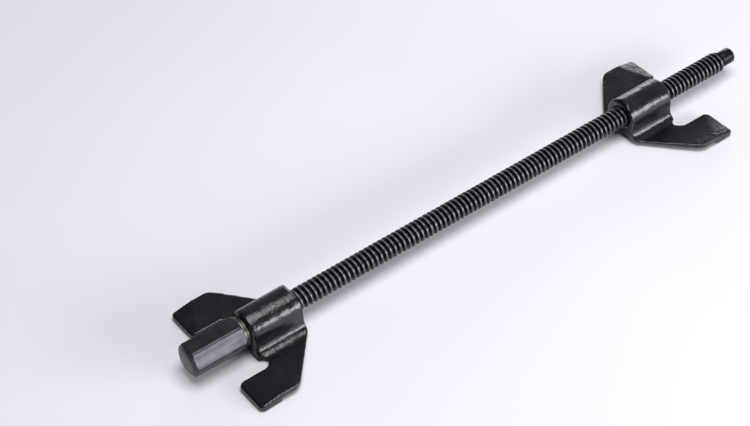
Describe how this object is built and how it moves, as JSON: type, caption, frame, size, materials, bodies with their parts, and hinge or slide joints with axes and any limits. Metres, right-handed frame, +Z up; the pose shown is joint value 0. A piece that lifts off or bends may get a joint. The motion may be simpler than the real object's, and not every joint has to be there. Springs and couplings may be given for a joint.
{
  "type": "coil spring compressor",
  "caption": "Coil spring compressor: a hex-driven trapezoidal screw draws a clawed travelling jaw towards a matching head jaw to hold a vehicle spring squeezed.",
  "frame": {"origin": "centre of the drive hex's outer end face, on the screw axis", "axes": "+X along the screw axis from the drive hex to the free end, +Z up from the claws' resting plane, +Y completes the right-handed frame and lies along the jaws' wings"},
  "size_m": [0.375, 0.082, 0.0236],
  "materials": {
    "black_oxide_steel": "black-oxide steel, grey where the thread crests have worn",
    "hex_steel": "satin dark grey machined steel",
    "pin_steel": "spring steel",
    "washer_steel": "ground steel",
    "washer_bronze": "dull oiled bronze",
    "black_forging": "gloss black over a forged surface",
    "ring_steel": "phosphated spring steel"
  },
  "bodies": {
    "head": {"head_jaw": "black_forging", "bronze_washer": "washer_bronze"},
    "spindle": {"spindle": "black_oxide_steel", "drive_hex": "hex_steel", "drive_hex_pin": "pin_steel", "steel_washer": "washer_steel", "retaining_ring": "ring_steel"},
    "travelling_jaw": {"travelling_jaw": "black_forging"}
  },
  "joints": [
    {"name": "spindle_spin", "type": "hinge", "parent": "head", "child": "spindle", "pos_m": [0, 0, 0], "axis": [1, 0, 0], "range_deg": [-5400, 26280]},
    {"name": "jaw_travel", "type": "slide", "parent": "head", "child": "travelling_jaw", "axis": [1, 0, 0], "range_m": [-0.219, 0.045]}
  ],
  "couplings": [
    {"joint": "jaw_travel", "follows": "spindle_spin", "m_per_rad": -0.00047746}
  ]
}
